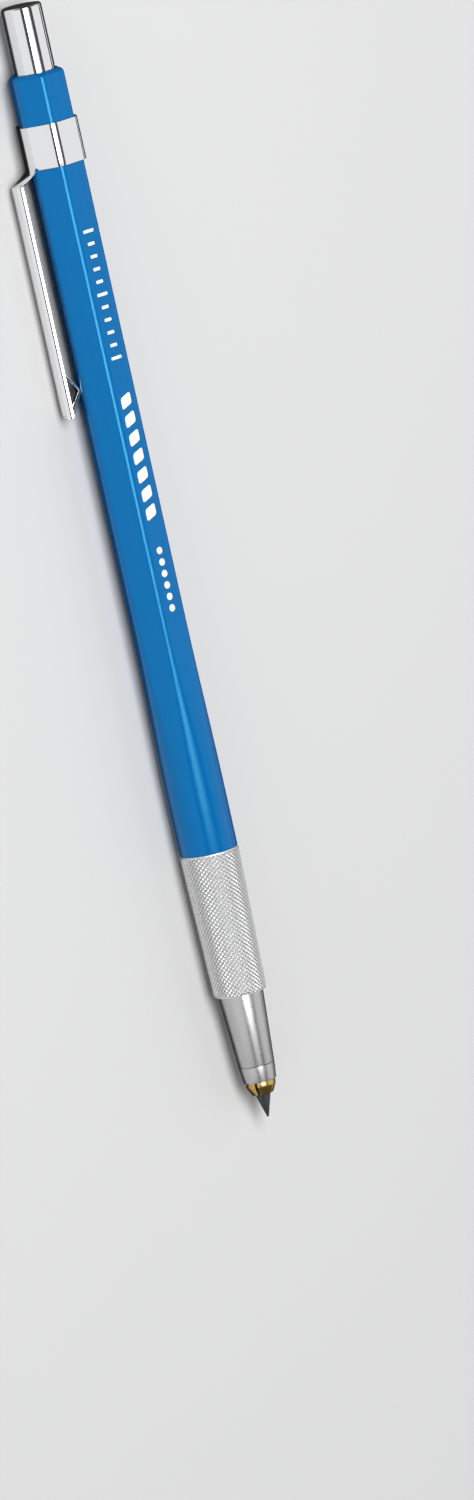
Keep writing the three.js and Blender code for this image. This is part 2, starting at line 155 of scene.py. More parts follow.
def size(name, millimetres, description):
    return FloatProperty(
        name=name, description=description, default=millimetres * MM, min=0.0,
        unit="LENGTH", subtype="DISTANCE", precision=5,
    )


def tint(name, value, description):
    return FloatVectorProperty(
        name=name, description=description, default=value, size=3, min=0.0, max=1.0, subtype="COLOR",
    )


class BarrelSizes(bpy.types.PropertyGroup):
    corner_radius: size("Corner radius", 1.26, "Rounding of the six corners")
    round_length: size("Round length", 6.7, "Fully round stretch behind the grip")
    blend_length: size("Blend length", 24, "Stretch where the flats run out")
    rear_edge: size("Rear edge", 0.8, "Rounding of the rear end")
    front_edge: size("Front edge", 0.12, "Rounding of the front end")
    pocket_wall: size("Pocket wall", 0.47, "Wall round the thread insert")
    mark_height: size("Mark height", 0.012, "Thickness of the printed ink")


class ClipSizes(bpy.types.PropertyGroup):
    sheet: size("Sheet", 0.38, "Thickness of the pressed sheet")
    band_corner: size("Band corner", 1.9, "Bend radius of the band's six corners")
    root_bend: size("Root bend", 0.5, "Bend radius where the neck leaves the band")
    shoulder_bend: size("Shoulder bend", 0.5, "Bend radius between the neck and the arm")
    rim_bend: size("Rim bend", 1.05, "Bend radius between the web and its rims")
    apex_bend: size("Apex bend", 0.5, "Bend radius where the fold bears on the barrel")
    fold_width: size("Fold width", 2.0, "Width of the tongue folded back at the end")
    notch_height: size("Notch height", 0.45, "Height of the relief notches beside the neck")
    edge: size("Edge", 0.05, "Rounding of the sheet's cut edges")


class GripSizes(bpy.types.PropertyGroup):
    teeth: IntProperty(name="Teeth", description="Diamonds round the grip", default=36, min=8)
    knurl_pitch: size("Knurl pitch", 0.62, "Length of a diamond along the axis")
    knurl_depth: size("Knurl depth", 0.17, "Depth of the knurl's grooves")
    knurl_fade: size("Knurl fade", 0.45, "Plain chamfer at both ends of the knurl")
    thread_pitch: size("Thread pitch", 0.75, "Pitch of the thread behind the grip")
    thread_depth: size("Thread depth", 0.16, "Depth of the thread")


class InnerSizes(bpy.types.PropertyGroup):
    turned_edge: size("Turned edge", 0.07, "Rounding of turned pieces' edges")
    button_edge: size("Button edge", 0.34, "Rounding of the button's end")
    button_wall: size("Button wall", 0.3, "Wall of the button shell")
    button_end_wall: size("Button end wall", 0.5, "Wall of the button's closed end")
    spring_wire: size("Spring wire", 0.35, "Diameter of the spring's wire")
    spring_turns: IntProperty(name="Spring turns", description="Turns of the spring", default=9, min=3)
    jaw_wall: size("Jaw wall", 0.39, "Wall of a jaw behind its head")
    jaw_nose_wall: size("Jaw nose wall", 0.4, "Wall left at a jaw's front edge")
    jaw_slot: size("Jaw slot", 0.35, "Slot between neighbouring jaws")
    jaw_head: size("Jaw head", 2.5, "Length of a jaw's head behind the tip ring's front face")
    lead_flat: size("Lead flat", 0.22, "Diameter of the lead's worn point")
    lead_point: size("Lead point", 3.1, "Length of the lead's point")


class Colours(bpy.types.PropertyGroup):
    blue: tint("Barrel blue", (0.0003, 0.114, 0.345), "Glossy barrel plastic")
    blue_deep: tint("Deep blue", (0.0002, 0.100, 0.315), "Darker streaks in the barrel plastic")
    ink: tint("Ink", (0.86, 0.88, 0.9), "Printed marks")
    chrome: tint("Chrome", (0.80, 0.80, 0.81), "Clip and button plating")
    knurl: tint("Knurl", (0.85, 0.85, 0.85), "Knurled grip")
    nose: tint("Nose", (0.54, 0.54, 0.54), "Turned nose")
    brass: tint("Brass", (0.63, 0.43, 0.14), "Inner brass pieces")
    steel: tint("Steel", (0.42, 0.43, 0.45), "Spring and blade")
    graphite: tint("Graphite", (0.035, 0.036, 0.04), "Lead")
    ivory: tint("Ivory", (0.74, 0.72, 0.66), "Sharpener core")
    floor: tint("Floor", (0.60, 0.60, 0.60), "Pale floor")


class StageSettings(bpy.types.PropertyGroup):
    turn: FloatProperty(
        name="Turn", description="Camera's angle round the axis from the clip",
        default=math.radians(80), subtype="ANGLE",
    )
    tilt: FloatProperty(
        name="Tilt", description="Camera's lean towards the button", default=math.radians(9), subtype="ANGLE",
    )
    lean: FloatProperty(
        name="Lean", description="Lean of the holder in the view", default=math.radians(12.53), subtype="ANGLE",
    )
    field: FloatProperty(
        name="Field", description="Vertical field of view", default=math.radians(6), subtype="ANGLE",
    )
    height: size("Height", 196.5, "Height of the view at the holder")
    aim: size("Aim", 45, "Place along the axis at the view's middle height")
    aside: size("Aside", 6.62, "How far the view's middle lies beside the axis")


GROUPS = {
    "holder_barrel": BarrelSizes,
    "holder_clip": ClipSizes,
    "holder_grip": GripSizes,
    "holder_inner": InnerSizes,
    "holder_colours": Colours,
    "holder_stage": StageSettings,
}


# ---- Surfaces ----


def grid_faces(rows, columns, close_rows, close_columns):
    """Quads of a grid, each from one point to the next column, row and back; a closed way joins its ends."""
    i = np.arange(rows if close_rows else rows - 1)
    j = np.arange(columns if close_columns else columns - 1)
    i, j = np.meshgrid(i, j, indexing="ij")
    below = (i + 1) % rows
    beside = (j + 1) % columns
    corners = [i * columns + j, i * columns + beside, below * columns + beside, below * columns + j]
    return np.stack(corners, axis=-1).reshape(-1, 4)


def angles(columns):
    return np.arange(columns) * (2 * math.pi / columns)


def around(radius, station, angle):
    """Own coordinates of points at a radius, a distance back along the axis and an angle from the clip."""
    radius, station, angle = np.broadcast_arrays(radius, station, angle)
    return np.stack([radius * np.cos(angle), radius * np.sin(angle), station], axis=-1)


def eased(outline, ease, steps=4):
    """A closed outline whose corners become short curves: each runs from a point before the corner to one
    after it, with the weights (1-u)^2, 2u(1-u) and u^2 on start, corner and end."""
    outline = np.asarray(outline, float)
    before = np.roll(outline, 1, axis=0) - outline
    after = np.roll(outline, -1, axis=0) - outline
    length_before = np.linalg.norm(before, axis=1, keepdims=True)
    length_after = np.linalg.norm(after, axis=1, keepdims=True)
    wanted = np.broadcast_to(np.reshape(ease, (-1, 1)), (len(outline), 1))
    cut = np.minimum(wanted, 0.42 * np.minimum(length_before, length_after))
    start = outline + before / length_before * cut
    end = outline + after / length_after * cut
    u = np.linspace(0, 1, steps)[None, :, None]
    curve = (1 - u) ** 2 * start[:, None] + 2 * u * (1 - u) * outline[:, None] + u**2 * end[:, None]
    return curve.reshape(-1, 2)


def finished_object(name, points, faces, recalculate=True, groove_shade=None):
    """A mesh object from points in own coordinates: doubles merged, faces outwards, smooth but for real edges.
    Values given for each point are kept as an attribute for the finish to read; the grip's are its painted
    groove shade."""
    mesh = bpy.data.meshes.new(name)
    mesh.from_pydata(to_row(points).reshape(-1, 3), [], [list(face) for face in faces])
    if groove_shade is not None:
        mesh.attributes.new("groove_shade", "FLOAT", "POINT").data.foreach_set("value", groove_shade)
    work = bmesh.new()
    work.from_mesh(mesh)
    bmesh.ops.remove_doubles(work, verts=work.verts, dist=MERGE)
    bmesh.ops.dissolve_degenerate(work, edges=work.edges, dist=MERGE / 10)
    if recalculate:
        bmesh.ops.recalc_face_normals(work, faces=work.faces)
    work.to_mesh(mesh)
    work.free()
    smooth_shading(mesh)
    piece = bpy.data.objects.new(name, mesh)
    bpy.context.scene.collection.objects.link(piece)
    return piece


def smooth_shading(mesh):
    mesh.polygons.foreach_set("use_smooth", np.ones(len(mesh.polygons), bool))
    mesh.set_sharp_from_angle(angle=SHARP_ANGLE)


def turned_object(name, outline, ease=0.0, columns=96):
    """A turned piece: an outline of radius and station, eased, carried once round the axis. An outline that
    starts and ends on the axis closes at its poles, and any other closes on itself."""
    outline = eased(outline, ease)
    on_axis = outline[0, 0] == 0 and outline[-1, 0] == 0
    points = around(outline[:, :1], outline[:, 1:], angles(columns)[None, :])
    return finished_object(name, points, grid_faces(len(outline), columns, not on_axis, True))


def sector_object(name, outline, ease, half_angle, middle, columns=24):
    """Part of a turned piece: the outline swept from middle minus to middle plus the half angle, which may
    change with the radius, and closed by flat ends."""
    outline = eased(outline, ease)
    share = np.linspace(-1, 1, columns)[None, :]
    radius, station = outline[:, :1], outline[:, 1:]
    points = around(radius, station, middle + half_angle(radius) * share)
    rows = len(outline)
    faces = grid_faces(rows, columns, True, False).tolist()
    faces.append([row * columns for row in range(rows)])
    faces.append([row * columns + columns - 1 for row in range(rows)])
    return finished_object(name, points, faces)


def rounded_hexagon(apothem, corner, angle):
    """Radius, at an angle, of a hexagon with rounded corners and a flat facing the clip: on a flat, the
    apothem over the cosine; past its end, the far crossing with the corner's circle."""
    sixth = math.pi / 3
    off_flat = np.abs((angle + sixth / 2) % sixth - sixth / 2)
    centre = (apothem - corner) / math.cos(sixth / 2)
    flat_end = np.arctan2((apothem - corner) * math.tan(sixth / 2), apothem)
    off_corner = sixth / 2 - off_flat
    on_flat = apothem / np.cos(off_flat)
    under_root = np.maximum(corner**2 - (centre * np.sin(off_corner)) ** 2, 0)
    on_corner = centre * np.cos(off_corner) + np.sqrt(under_root)
    return np.where(off_flat <= flat_end, on_flat, on_corner)


def smooth_step(value):
    value = np.clip(value, 0, 1)
    return value * value * (3 - 2 * value)


def attach(piece, body, nodes, material):
    """Finish of a piece, the CAD nodes that it stands for and the body that it rides on."""
    piece.data.materials.append(material)
    if nodes:
        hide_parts(*nodes)
    if body:
        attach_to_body(piece, body)


# ---- Finishes ----

# Shared noises: the stretch of their coordinates along X, Y and Z, and their detail
NOISES = {
    "fine_grain": ((1, 1, 1), 3),
    "smudges": ((0.35, 1, 1), 4),
    "draw_lines": ((0.02, 1, 1), 2),
    "turning_rings": ((1, 0.002, 0.002), 2),
}


def join_all(tree, *pairs):
    for source, target in pairs:
        tree.links.new(source, target)


def ramp(tree, value, start, end, kind="LINEAR"):
    """A node that gives 0 at the start and 1 at the end of a range of values."""
    node = tree.nodes.new("ShaderNodeMapRange")
    node.interpolation_type = kind
    node.inputs["From Min"].default_value = start
    node.inputs["From Max"].default_value = end
    tree.links.new(value, node.inputs["Value"])
    return node


def math_node(tree, operation, *values):
    node = tree.nodes.new("ShaderNodeMath")
    node.operation = operation
    for place, value in enumerate(values):
        if isinstance(value, float):
            node.inputs[place].default_value = value
        else:
            tree.links.new(value, node.inputs[place])
    return node.outputs[0]


def mix_shaders(tree, factor, first, second, output):
    """Send an output node the first shader, mixed with the second as far as the factor says."""
    mix = tree.nodes.new("ShaderNodeMixShader")
    surface = tree.nodes[output].inputs["Surface"]
    join_all(tree, *zip((factor, first, second), mix.inputs), (mix.outputs["Shader"], surface))


def effect(name):
    """A shared node group, made when it is first asked for: a noise on stretched Object coordinates. Height is
    the noise itself, and Value is its usual range, 0.3 to 0.7, spread over Low to High."""
    if name in bpy.data.node_groups:
        return bpy.data.node_groups[name]
    stretch, detail = NOISES[name]
    tree = bpy.data.node_groups.new(name, "ShaderNodeTree")
    for label in ("Scale", "Low", "High"):
        tree.interface.new_socket(label, in_out="INPUT", socket_type="NodeSocketFloat")
    for label in ("Value", "Height"):
        tree.interface.new_socket(label, in_out="OUTPUT", socket_type="NodeSocketFloat")
    given, out = tree.nodes.new("NodeGroupInput"), tree.nodes.new("NodeGroupOutput")
    place = tree.nodes.new("ShaderNodeTexCoord")
    mapping = tree.nodes.new("ShaderNodeMapping")
    mapping.inputs["Scale"].default_value = stretch
    noise = tree.nodes.new("ShaderNodeTexNoise")
    noise.inputs["Detail"].default_value = detail
    spread = ramp(tree, noise.outputs["Fac"], 0.3, 0.7)
    join_all(
        tree,
        (place.outputs["Object"], mapping.inputs["Vector"]),
        (mapping.outputs["Vector"], noise.inputs["Vector"]),
        (given.outputs["Scale"], noise.inputs["Scale"]),
        (given.outputs["Low"], spread.inputs["To Min"]),
        (given.outputs["High"], spread.inputs["To Max"]),
        (spread.outputs["Result"], out.inputs["Value"]),
        (noise.outputs["Fac"], out.inputs["Height"]),
    )
    return tree


class Finish:
    """A material around one Principled shader, with helpers that place and join its nodes."""

    def __init__(self, name, colour, roughness, metallic=0.0):
        self.material = bpy.data.materials.new(name)
        self.material.use_nodes = True
        self.colour = tuple(colour)
        self.tree = self.material.node_tree
        self.shader = self.tree.nodes["Principled BSDF"]
        self.set(self.shader, Roughness=roughness, Metallic=metallic)
        self.shader.inputs["Base Color"].default_value = (*self.colour, 1)

    def set(self, node, **values):
        for name, value in values.items():
            node.inputs[name].default_value = value

    def join(self, source, target):
        self.tree.links.new(source, target)

    def effect(self, name, scale, low=0.0, high=1.0):
        node = self.tree.nodes.new("ShaderNodeGroup")
        node.node_tree = effect(name)
        self.set(node, Scale=scale, Low=low, High=high)
        return node

    def rough(self, name, scale, low, high):
        """Roughness from an effect, between two values. Gives the effect's height."""
        node = self.effect(name, scale, low, high)
        self.join(node.outputs["Value"], self.shader.inputs["Roughness"])
        return node.outputs["Height"]

    def bump(self, height, depth):
        node = self.tree.nodes.new("ShaderNodeBump")
        self.set(node, Distance=depth, Strength=1.0)
        self.join(height, node.inputs["Height"])
        self.join(node.outputs["Normal"], self.shader.inputs["Normal"])

    def shade(self, part):
        return tuple(part * value for value in self.colour)

    def mixed_colour(self, mask, first, second):
        """Base colour from the first colour, or a node's, to the second. Gives the mixed colour."""
        node = self.tree.nodes.new("ShaderNodeMix")
        node.data_type = "RGBA"
        node.inputs["B"].default_value = (*second, 1)
        if isinstance(first, tuple):
            node.inputs["A"].default_value = (*first, 1)
        else:
            self.join(first, node.inputs["A"])
        self.join(mask, node.inputs["Factor"])
        self.join(node.outputs["Result"], self.shader.inputs["Base Color"])
        return node.outputs["Result"]

    def stained(self, name, scale, most, colour):
        """Base colour mixed with another by an effect, at most this far."""
        mask = self.effect(name, scale, 0.0, most).outputs["Value"]
        return self.mixed_colour(mask, self.colour, tuple(colour))


def colours():
    return bpy.context.scene.holder_colours


def barrel_plastic():
    """Glossy solid-coloured plastic: faint flow streaks, and a gloss that varies a little at random."""
    made = Finish("glossy_blue_plastic", colours().blue, 0.2)
    made.set(made.shader, IOR=1.5)
    made.shader.inputs["Specular IOR Level"].default_value = 0.6
    made.shader.inputs["Specular Tint"].default_value = (0.2, 0.8, 1, 1)
    made.stained("draw_lines", 900, 0.5, colours().blue_deep)
    made.bump(made.rough("fine_grain", 2600, 0.16, 0.27), 0.002 * MM)
    return made.material


def mark_ink():
    """Matt printing ink, a little uneven."""
    made = Finish("white_ink", colours().ink, 0.45)
    made.stained("smudges", 500, 0.35, made.shade(0.86))
    made.bump(made.rough("fine_grain", 7000, 0.36, 0.6), 0.003 * MM)
    return made.material


def chrome_plate(name="bright_chrome_plate"):
    """Mirror plating over lightly polished metal, with faint smudges."""
    made = Finish(name, colours().chrome, 0.07, 1.0)
    made.rough("smudges", 260, 0.03, 0.11)
    made.bump(made.effect("draw_lines", 1400).outputs["Value"], 0.0012 * MM)
    return made.material


def knurl_metal():
    """Bright satin metal with painted shade in the knurl's grooves."""
    made = Finish("satin_knurl_metal", colours().knurl, 0.4, 0.7)
    groove_shade = made.tree.nodes.new("ShaderNodeAttribute")
    groove_shade.attribute_name = "groove_shade"
    # painted shade: the colour falls to half in the knurl's grooves, where the attribute is low
    made.mixed_colour(groove_shade.outputs["Fac"], made.shade(0.5), made.colour)
    made.bump(made.rough("fine_grain", 6000, 0.32, 0.46), 0.004 * MM)
    return made.material


def turned_metal(name, colour, low, high, depth):
    """Turned metal: rings from the tool as fine bumps, and a roughness that varies along them."""
    made = Finish(name, colour, low, 1.0)
    made.rough("fine_grain", 3000, low, high)
    made.stained("smudges", 300, 0.5, made.shade(0.8))
    made.bump(made.effect("turning_rings", 9000).outputs["Height"], depth)
    return made.material


def drawn_steel():
    """Bright drawn wire and strip, a little oily."""
    made = Finish("bright_drawn_steel", colours().steel, 0.25, 1.0)
    made.stained("smudges", 900, 0.6, made.shade(0.7))
    made.bump(made.rough("fine_grain", 5000, 0.18, 0.34), 0.003 * MM)
    return made.material


def graphite_stick():
    """Dark graphite with a slight shine and fine drawn lines."""
    made = Finish("graphite_stick", colours().graphite, 0.42, 0.35)
    made.stained("draw_lines", 2500, 1.0, made.shade(1.8))
    made.bump(made.rough("fine_grain", 8000, 0.32, 0.55), 0.006 * MM)
    return made.material


def core_plastic():
    """Moulded pale plastic with a fine eroded texture."""
    made = Finish("moulded_ivory_plastic", colours().ivory, 0.5)
    made.stained("smudges", 700, 0.5, made.shade(0.75))
    made.bump(made.rough("fine_grain", 5000, 0.4, 0.6), 0.008 * MM)
    return made.material


SHADE_MIDDLE = 20 * MM  # behind the axis: middle of the floor's strip of painted shade, which only reflections show
SHADE_EDGE = (25.4 * MM, 24.2 * MM)
SHADE_COLOUR = (0.02, 0.02, 0.02)
GLOW_RANGE = (0.15, 0.5)


def floor_paper():
    """Plain pale floor with a barely visible mottle, which glows like the background far from the holder. Under
    and behind the holder it carries a strip of painted shade that only reflections show, which gives bright
    metal its dark outlines."""
    made = Finish("pale_floor", colours().floor, 0.75)
    tree = made.tree
    made.shader.inputs["Specular IOR Level"].default_value = 0.2
    pale = made.stained("smudges", 12, 0.3, made.shade(0.97))
    place = tree.nodes.new("ShaderNodeTexCoord").outputs["Object"]
    split = tree.nodes.new("ShaderNodeSeparateXYZ")
    made.join(place, split.inputs["Vector"])
    beside = math_node(tree, "SUBTRACT", split.outputs["Y"], float(ORIGIN[1]) + SHADE_MIDDLE)
    under = ramp(tree, math_node(tree, "ABSOLUTE", beside), *SHADE_EDGE).outputs["Result"]
    path = tree.nodes.new("ShaderNodeLightPath")
    # painted shade: the strip is near black for glossy rays only, a painted dark reflection in the metal
    painted_dark_reflection = math_node(tree, "MULTIPLY", under, path.outputs["Is Glossy Ray"])
    made.mixed_colour(painted_dark_reflection, pale, SHADE_COLOUR)
    length = tree.nodes.new("ShaderNodeVectorMath")
    length.operation = "LENGTH"
    made.join(place, length.inputs[0])
    far = ramp(tree, length.outputs["Value"], *GLOW_RANGE, "SMOOTHSTEP").outputs["Result"]
    glow = tree.nodes.new("ShaderNodeEmission")
    glow.inputs["Color"].default_value = (*BACKGROUND, 1)
    mix_shaders(tree, far, made.shader.outputs["BSDF"], glow.outputs["Emission"], "Material Output")
    return made.material


# ---- Pieces ----


def flat_distance():
    """Distance of the barrel's flats from the axis: just inside the place where the clip's fold bears."""
    return own_points("clip_arm")[:, 0].min() - FIT


class LEADHOLDER_OT_barrel(bpy.types.Operator):
    """Build the barrel, a hexagonal tube that turns round towards the grip"""

    bl_idname = "lead_holder.barrel"
    bl_label = "Barrel"

    columns = 216
    edge_rows = 12
    rear_foot = math.radians(14)  # the rounding starts at this angle, which leaves a faint ring line
    blend_rows = 48

    def execute(self, context):
        sizes = context.scene.holder_barrel
        front, rear = stations("barrel")
        bore, round_radius = radii("barrel")
        pocket = round_radius - sizes.pocket_wall
        pocket_end = stations("thread_insert")[1] + FIT
        quarter = np.linspace(0, math.pi / 2, self.edge_rows)
        front_in = sizes.front_edge * (1 - np.sin(quarter))
        front_at = front + sizes.front_edge * (1 - np.cos(quarter))
        turn = np.linspace(self.rear_foot, math.pi / 2, self.edge_rows)
        rear_in = sizes.rear_edge * (math.cos(self.rear_foot) - np.cos(turn))
        rear_at = rear - sizes.rear_edge * (1 - np.sin(turn))
        blend_front = front + sizes.round_length
        blend_at = np.linspace(blend_front, blend_front + sizes.blend_length, self.blend_rows)
        station = np.concatenate([front_at, blend_at, rear_at])
        inset = np.concatenate([front_in, np.zeros(self.blend_rows), rear_in])
        roundness = 1 - smooth_step((station - blend_front) / sizes.blend_length)
        apothem = flat_distance() + (round_radius - flat_distance()) * roundness
        corner = sizes.corner_radius + (round_radius - sizes.corner_radius) * roundness
        angle = angles(self.columns)[None, :]
        outside = rounded_hexagon(apothem[:, None], corner[:, None], angle) - inset[:, None]
        walls = np.array([[bore, rear], [bore, pocket_end], [pocket, pocket_end], [pocket, front]])
        points = np.concatenate([
            around(outside, station[:, None], angle),
            around(walls[:, :1], walls[:, 1:], angle),
        ])
        piece = finished_object("barrel_tube", points, grid_faces(len(points), self.columns, True, True))
        attach(piece, "barrel", ["barrel"], barrel_plastic())
        return {"FINISHED"}


class LEADHOLDER_OT_marks(bpy.types.Operator):
    """Print plain marks on one flat of the barrel: a scale of thin bars, slanted blocks and dots"""

    bl_idname = "lead_holder.marks"
    bl_label = "Printed marks"

    flat_angle = math.radians(120)
    sunk = 0.02 * MM
    dot_sides = 28
    # of each row: count, first place from the barrel's rear end, pitch, then the marks' own sizes
    bar_row = (11, 21.6 * MM, 1.7 * MM)
    bar_length, bar_width, long_bar_width = 0.42 * MM, 1.15 * MM, 1.75 * MM
    block_row = (7, 44.4 * MM, 2.5 * MM)
    block_length, block_width, block_slant = 1.55 * MM, 1.75 * MM, 0.35
    dot_row = (6, 64.6 * MM, 1.55 * MM)
    dot_radius = 0.48 * MM

    def prism(self, along, across):
        """A low prism on the flat over an outline of places along the axis and across the flat."""
        flat = flat_distance()
        height = bpy.context.scene.holder_barrel.mark_height
        outward = np.array([math.cos(self.flat_angle), math.sin(self.flat_angle), 0])
        sideways = np.array([-outward[1], outward[0], 0])
        ground = across[:, None] * sideways + along[:, None] * np.array([0, 0, 1])
        return np.concatenate([ground + outward * (flat - self.sunk), ground + outward * (flat + height)])

    def block(self, middle, length, width, slant=0.0):
        along = np.array([-length, length, length, -length]) / 2
        across = np.array([-width, -width, width, width]) / 2
        outline = eased(np.stack([along + slant * across, across], axis=1), min(length, width) / 4, 5)
        return self.prism(middle + outline[:, 0], outline[:, 1])

    def places(self, count, first, pitch):
        return stations("barrel")[1] - first - pitch * np.arange(count)

    def dot(self, middle, radius):
        angle = angles(self.dot_sides)
        return self.prism(middle + radius * np.cos(angle), radius * np.sin(angle))

    def execute(self, context):
        bars = [
            self.block(place, self.bar_length, self.bar_width if number % 5 else self.long_bar_width)
            for number, place in enumerate(self.places(*self.bar_row))
        ]
        blocks = [
            self.block(place, self.block_length, self.block_width, self.block_slant)
            for place in self.places(*self.block_row)
        ]
        dots = [self.dot(place, self.dot_radius) for place in self.places(*self.dot_row)]
        points, faces, base = [], [], 0
        for prism in bars + blocks + dots:
            count = len(prism) // 2
            sides = grid_faces(2, count, False, True) + base
            faces += sides.tolist()
            faces.append([base + n for n in range(count)][::-1])
            faces.append([base + count + n for n in range(count)])
            points.append(prism)
            base += len(prism)
        piece = finished_object("printed_marks", np.concatenate(points), faces)
        attach(piece, "barrel", [], mark_ink())
        return {"FINISHED"}


def unit(vector):
    return vector / np.linalg.norm(vector)


def filleted_path(corners, bends, arc_rows, leg_rows):
    """A path through corners [x, z] whose inner corners are arcs of the given bend radii. Each arc is tangent
    to both legs at bend / tan(half the angle between them). Also gives each row's number of passed corners,
    which rises by one along each arc."""
    corners = np.asarray(corners, float)
    rows, passed = [], []
    start = corners[0]
    for number, (corner, bend, count) in enumerate(zip(corners[1:-1], bends, leg_rows)):
        back = unit(corners[number] - corner)
        ahead = unit(corners[number + 2] - corner)
        half = math.acos(float(np.clip(back @ ahead, -1, 1))) / 2
        reach = bend / math.tan(half)
        end = corner + back * reach
        share = np.linspace(0, 1, count, endpoint=False)
        rows.append(start + (end - start) * share[:, None])
        passed.append(np.full(count, float(number)))
        centre = corner + unit(back + ahead) * (bend / math.sin(half))
        turn = np.linspace(0, 1, arc_rows, endpoint=False)
        swept = ((math.pi - 2 * half) * turn)[:, None]
        rows.append(centre + (end - centre) * np.cos(swept) - bend * back * np.sin(swept))
        passed.append(number + turn)
        start = corner + ahead * reach
    share = np.linspace(0, 1, leg_rows[-1] + 1)
    rows.append(start + (corners[-1] - start) * share[:, None])
    passed.append(np.full(len(share), float(len(bends))))
    return np.concatenate(rows), np.concatenate(passed)


class LEADHOLDER_OT_clip(bpy.types.Operator):
    """Build the clip, one pressing: a six-sided band, a neck, a channel-shaped arm and a folded tongue"""

    bl_idname = "lead_holder.clip"
    bl_label = "Clip"

    root_angle = math.radians(36)
    root_drop = 0.62  # from the band's edge to the root bend's corner, in bend radii
    notch_angle = math.radians(4.5)
    fold_lean = math.radians(30)
    arm_columns = 32
    other_columns = 92
    arc_rows = 16
    leg_rows = (2, 20, 40, 8, 8)
    band_rows = 10

    def measured(self, sizes):
        """Lengths read from the CAD clip, and the bend at the arm's end, which reaches the clip's end."""
        outward, across, station = own_points("clip_arm").T
        band_front, band_rear = stations("clip_band")
        end, top = stations("clip_arm")
        flat = np.abs(own_points("clip_band")[:, 0]).max()
        face = outward.max()
        contact = outward.min()
        half_width = across.max()
        neck_end = station[outward > face - sizes.sheet / 2].max()
        lower = station < (end + top) / 2
        apex_at = station[lower & (outward < contact + sizes.sheet / 4)].mean()
        rim = lower & (np.abs(across) < half_width * 0.9)
        fold_top = station[rim].max()
        depth = face - outward[rim & (station >= fold_top - FIT)].min()
        apex = contact - sizes.apex_bend * (1 / math.cos(self.fold_lean) - 1)
        tip_corner = apex_at - (face - apex) / math.tan(self.fold_lean)
        end_bend = (end - tip_corner) / (1 / math.tan(self.fold_lean / 2) - 1)
        return SimpleNamespace(
            band_front=band_front, band_rear=band_rear, top=top, flat=flat, face=face, half_width=half_width,
            neck_end=neck_end, apex_at=apex_at, fold_top=fold_top, depth=depth, apex=apex,
            tip_corner=tip_corner, end_bend=end_bend,
        )

    def path(self, clip, sizes):
        """The outer face's line down the middle: root, neck, arm, end bend, apex and the tongue's end."""
        corners = [
            (clip.flat, clip.band_front),
            (clip.flat, clip.band_front - self.root_drop * sizes.root_bend),
            (clip.face, clip.neck_end),
            (clip.face, clip.tip_corner),
            (clip.apex, clip.apex_at),
            (clip.face - clip.depth, clip.fold_top),
        ]
        bends = [sizes.root_bend, sizes.shoulder_bend, clip.end_bend, sizes.apex_bend]
        return filleted_path(corners, bends, self.arc_rows, self.leg_rows)

    def channel(self, share, sizes, clip):
        """Width place and depth of the arm's section: flat in the middle, a quarter arc, then a straight rim.
        The share of the unrolled half width runs from -1 to 1."""
        bend = sizes.rim_bend
        flat = clip.half_width - bend
        arc = bend * math.pi / 2
        unrolled = np.abs(share) * (flat + arc + clip.depth - bend)
        turn = np.clip((unrolled - flat) / bend, 0, math.pi / 2)
        past = np.maximum(unrolled - flat - arc, 0)
        width = np.minimum(unrolled, flat) + bend * np.sin(turn)
        return np.sign(share) * width, bend * (1 - np.cos(turn)) + past

    def columns(self, sizes, clip):
        """Angles of the columns: even over the arm's root but for one pair at the tongue's edges, then on
        round the band; also the arm columns' shares of its half width, and which of them make the tongue."""
        unrolled = clip.half_width - sizes.rim_bend + sizes.rim_bend * math.pi / 2 + clip.depth - sizes.rim_bend
        tongue_edge = sizes.fold_width / 2 / unrolled
        share = np.linspace(-1, 1, self.arm_columns + 1)
        nearest = np.argmin(np.abs(share - tongue_edge))
        share[nearest] = tongue_edge
        share[-nearest - 1] = -tongue_edge
        rest = np.linspace(self.root_angle, 2 * math.pi - self.root_angle, self.other_columns + 1)[1:-1]
        return np.concatenate([share * self.root_angle, rest]), share, np.abs(share) <= tongue_edge + 1e-9

    def band(self, hexagon, angle, sizes, clip):
        """Rows round the barrel. The front edge has a notch on each side of the neck."""
        notch_middle = self.root_angle + self.notch_angle
        off_notch = np.abs(np.abs((angle + math.pi) % (2 * math.pi) - math.pi) - notch_middle)
        edge = clip.band_front + sizes.notch_height * np.maximum(1 - off_notch / self.notch_angle, 0)
        share = np.linspace(0, 1, self.band_rows)[:, None]
        return around(hexagon, clip.band_rear + (edge - clip.band_rear) * share, angle)

    def arm(self, root, share, tongue, path, passed, sizes, clip):
        """Rows down the path. Along the neck the section changes from the band's to the channel's. In the end
        bend the rims stop at its round outline, and only the tongue goes on."""
        wrap_depth, wrap_y = clip.flat - root[:, 0], root[:, 1]
        channel_y, channel_depth = self.channel(share, sizes, clip)
        run = np.concatenate([[0], np.cumsum(np.linalg.norm(np.diff(path, axis=0), axis=1))])[:, None]
        formed = smooth_step(run / run[passed < 2].max())
        width = wrap_y + (channel_y - wrap_y) * formed
        sunk = wrap_depth + (channel_depth - wrap_depth) * formed
        points = np.stack([path[:, :1] - sunk, width, path[:, 1:] + 0 * sunk], axis=-1)

        bending = (passed > 2) & (passed < 3)
        bend_top = path[passed <= 2][-1, 1]
        down = np.clip((bend_top - path[bending, 1:]) / clip.end_bend, 0, 1)
        outline = np.sqrt(np.maximum(clip.end_bend**2 - (channel_depth - clip.end_bend) ** 2, 0))
        rims = np.broadcast_arrays(clip.face - channel_depth, channel_y, bend_top - outline * down)
        rims = np.stack(rims, axis=-1)
        points[bending] = np.where(tongue[None, :, None], points[bending], rims)
        return points

